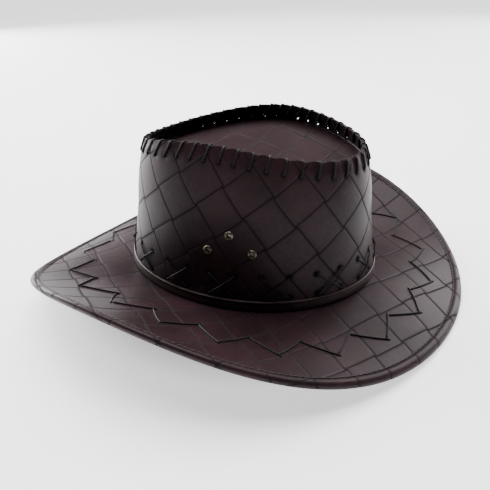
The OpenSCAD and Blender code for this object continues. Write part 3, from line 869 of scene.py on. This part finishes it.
sheet = blank(edge_left, (-195, -190), (195, 190), brim_weave)
cut(sheet, lambda x, y: edge_width - inset_at(x, y), drop=True)
cut(sheet, lambda x, y: edge_run[-1] - edge_width + inset_at(x, y), drop=True)
for run in edge_run[1:-1]:
    cut(sheet, lambda x, y: edge_width - inset_at(x, y) - run)
points, faces, flat = shell(sheet, edge_place)
_, crease, rubbed = emboss(flat[:, 0], flat[:, 1], brim_weave)
# painted shade in the stitched groove along the roll's inner side
groove = edge_width - inset_at(flat[:, 0], flat[:, 1])
groove = np.minimum(groove, edge_run[-1] - groove)
crease = np.maximum(crease, np.exp(-((groove - 1.4) / 0.6) ** 2) * 0.8)
piece("brim_edge_roll", points, faces, brown_weave, "embossed_leathercloth", ["brim_binding"],
      crease=crease, rubbed=rubbed * 0.6)


def stitches(place, total, length, gap, radius):
    """Separate lock stitches along place(share of the whole run), as one mesh."""
    count = int(total / (length + gap))
    points = []
    faces = []
    uvs = []
    for i in range(count):
        shares = (i + np.linspace(0, length / (length + gap), 7)) / count
        path = place(shares, 0.9 * radius * np.sin(np.linspace(0, np.pi, 7)) - 0.4 * radius)
        p, f, uv = tube(path, radius, 6)
        faces += [[k + sum(map(len, points)) for k in face] for face in f]
        points.append(p)
        uvs += uv
    return np.concatenate(points), faces, uvs


# spun polyester thread, black-brown
thread, tree, shader = new_material("black_polyester_thread", Roughness=0.55)
run = add(tree, "ShaderNodeUVMap", uv_map="run").outputs[0]
twist = add(tree, "ShaderNodeTexWave", {"Vector": run, "Scale": 0.6}, bands_direction="DIAGONAL")
tone = add(tree, "ShaderNodeMix", {0: twist.outputs["Fac"], 6: colour("#0c090a"), 7: colour("#2a2224")},
           data_type="RGBA")
tree.links.new(tone.outputs[2], shader.inputs["Base Color"])
bump = add(tree, "ShaderNodeBump", {"Height": twist.outputs["Fac"], "Strength": 0.5,
                                    "Distance": 0.0001})
tree.links.new(bump.outputs[0], shader.inputs["Normal"])


def groove_seam(rise):
    """Points along the groove, rise above the brim's middle, with each stitch's own lift."""
    def place(share, lifted):
        a = even(2 * np.pi * share, *brim_oval)
        return brim(a, 1 - 6.4 / brim_run(a), rise - 1.8 + lifted * np.sign(rise))
    return place


upper = stitches(groove_seam(2.4), 1050, 3.4, 0.7, 0.25)
lower = stitches(groove_seam(-2.4), 1050, 3.4, 0.7, 0.25)
piece("brim_edge_stitching", np.concatenate([upper[0], lower[0]]),
      upper[1] + [[k + len(upper[0]) for k in f] for f in lower[1]], thread, "sewing_thread",
      ["binding_stitching"], sharp=180, uv=upper[2] + lower[2])


# ============================================================================
# Brim lace: one zigzag round the brim. Each strand lies on the brim, dives at
# the far hole of a corner and comes up again at the near one.
# ============================================================================
over = 0.55
below = -4.25
stops = []
for i in range(zigzags):
    for a, s, way in ((zigzag_angle(i), zigzag_outer, 1), (zigzag_angle(i + 0.5), zigzag_inner, -1)):
        far = s + way * zigzag_gap / brim_run(a)
        stops += [(a, far, over), (a, far, below), (a, s, below), (a, s, over)]
stops.append((zigzag_angle(zigzags), zigzag_outer + zigzag_gap / brim_run(zigzag_angle(zigzags)), over))
points, faces, uvs = tube(strand(brim, stops), 0.55)
piece("brim_lacing", points, faces, black_lace, "black_lace", ["brim_lace"], sharp=180, uv=uvs)


# ============================================================================
# Inside: linings of the wall and of the tip, a tape over the wall's back seam,
# and the sweatband, sewn round the foot of the crown.
# ============================================================================
def woven(name, dark, light, thread_width, rough):
    """Plain-woven cloth: warp and weft of that width in millimetres, which fuzz the light."""
    material, tree, shader = new_material(name, Roughness=rough)
    place = add(tree, "ShaderNodeTexCoord").outputs["UV"]
    waves = [add(tree, "ShaderNodeTexWave", {"Vector": place, "Scale": 0.314 / thread_width},
                 bands_direction=axis).outputs["Fac"] for axis in ("X", "Y")]
    cloth = add(tree, "ShaderNodeMath", {0: waves[0], 1: waves[1]}, operation="MULTIPLY")
    slub = add(tree, "ShaderNodeTexNoise", {"Vector": place, "Scale": 0.4, "Detail": 3.0})
    amount = add(tree, "ShaderNodeMath", {0: cloth.outputs[0], 1: slub.outputs[0]},
                 operation="MULTIPLY")
    tone = add(tree, "ShaderNodeMix", {0: amount.outputs[0], 6: colour(dark), 7: colour(light)},
               data_type="RGBA")
    tree.links.new(tone.outputs[2], shader.inputs["Base Color"])
    bump = add(tree, "ShaderNodeBump", {"Height": cloth.outputs[0], "Strength": 0.5,
                                        "Distance": 0.0002})
    tree.links.new(bump.outputs[0], shader.inputs["Normal"])
    return material


def lap_sheet(name, rows, columns, place, material, slot, nodes, holes=()):
    """A sheet with thickness from a plain grid of flat lines, its UVs in millimetres."""
    sheet = bmesh.new()
    grid = [[sheet.verts.new((u, v, 0)) for v in columns] for u in rows]
    for i in range(len(rows) - 1):
        for j in range(len(columns) - 1):
            sheet.faces.new((grid[i][j], grid[i + 1][j], grid[i + 1][j + 1], grid[i][j + 1]))
    if holes:
        punch(sheet, holes)
    points, faces, flat = shell(sheet, place)
    uvs = [flat[k] for f in faces for k in f]
    return piece(name, points, faces, material, slot, nodes, uv=uvs)


# black polyester lining, thin and slightly slack; threads drawn at 0.5 mm
lining_cloth = woven("black_lining_cloth", "#0e0d11", "#26242b", 0.5, 0.7)


def lining_height(a):
    """The top of the wall's lining, just under the tip."""
    return wall_height(a) - 16.4


def lining_place(u, v, share):
    a = np.interp(u, wall_run, wall_turn)
    height = 4 + (lining_height(a) - 4) * v / 90
    out = -1.3 - 1.6 * np.clip((34.5 - height) / 6, 0, 1)
    slack = 0.5 * (1 - np.cos(u * 2 * np.pi / wall_length * 14)) * np.sin(np.pi * v / 90) ** 2
    return crown_up(a, height, out - slack * 0.6 - 0.4 * share)


lining_holes = [(run_at(a), (h - 4) * 90 / (lining_height(a) - 4), 2.15) for a, h in vents]
wall_lining = lap_sheet(
    "crown_wall_lining_cloth", np.linspace(0.2, wall_length - 0.2, 161), np.linspace(0, 90, 31),
    lining_place, lining_cloth, "lining_cloth", ["crown_wall_lining"], lining_holes)


def tip_lining_flat(x, y, share):
    """The tip's lining lies against the underside of the dish."""
    a = np.arctan2(y, x)
    return dish(a, np.hypot(x, y) / tip_edge(a), 1.3 + 0.4 * share)


sheet = blank(lambda x, y: 0.93 * tip_edge(np.arctan2(y, x)) - np.hypot(x, y), (-90, -80), (90, 80),
              lattice(4, 0, 4, 90, (0, 0)), offsets=(1.0,))
cut(sheet, lambda x, y: 0.93 * tip_edge(np.arctan2(y, x)) - np.hypot(x, y), drop=True)
points, faces, flat = shell(sheet, tip_lining_flat)
tip_lining = piece("crown_tip_lining_cloth", points, faces, lining_cloth, "lining_cloth",
                   ["crown_tip_lining"], uv=[flat[k] for f in faces for k in f])


def tape_place(u, v, share):
    a = np.pi / 2 + u / 80
    return crown_up(a, 36.5 + v, -2.45 + 0.12 * np.cos(v * 1.2) * np.abs(u / 6) - 0.4 * share)


seam_tape = lap_sheet("back_seam_tape", np.linspace(-5.5, 5.5, 9), np.linspace(0, 43, 33), tape_place,
                      lining_cloth, "lining_cloth", ["crown_seam_tape"])

# black brushed cotton of the sweatband; threads drawn at 0.8 mm
band_cloth = woven("black_sweatband_cloth", "#121013", "#2c282d", 0.8, 0.75)


def sweat_place(u, v, share):
    a = np.pi / 2 + 2 * np.pi * u / 560
    round_top = 0.35 * np.clip((v - 34.6) / 1.2, 0, 1) ** 2
    wave = 0.25 * (1 - np.cos(a * 9)) * np.clip((v - 6) / 30, 0, 1)
    out = -3.4 - wave - (1.2 - round_top if share else round_top)
    return crown_up(a, v - 3.8, out)


rows = np.linspace(0, 560, 241)
columns = [0, 2, 4, 5.4, 6, 6.6, 9, 13, 17, 21, 25, 29, 32, 34.6, 35.4, 35.8]
sweatband = lap_sheet("sweatband_strip", rows, columns, sweat_place, band_cloth, "sweatband_cloth",
                      ["sweatband"])


def sweat_seam(share, lifted):
    a = 2 * np.pi * share
    return crown_up(a, 2.0 + 0 * a, -4.9 - lifted)


points, faces, uvs = stitches(sweat_seam, 560, 3.2, 0.8, 0.25)
piece("sweatband_seam_thread", points, faces, thread, "sewing_thread", ["sweatband_stitching"],
      sharp=180, uv=uvs)
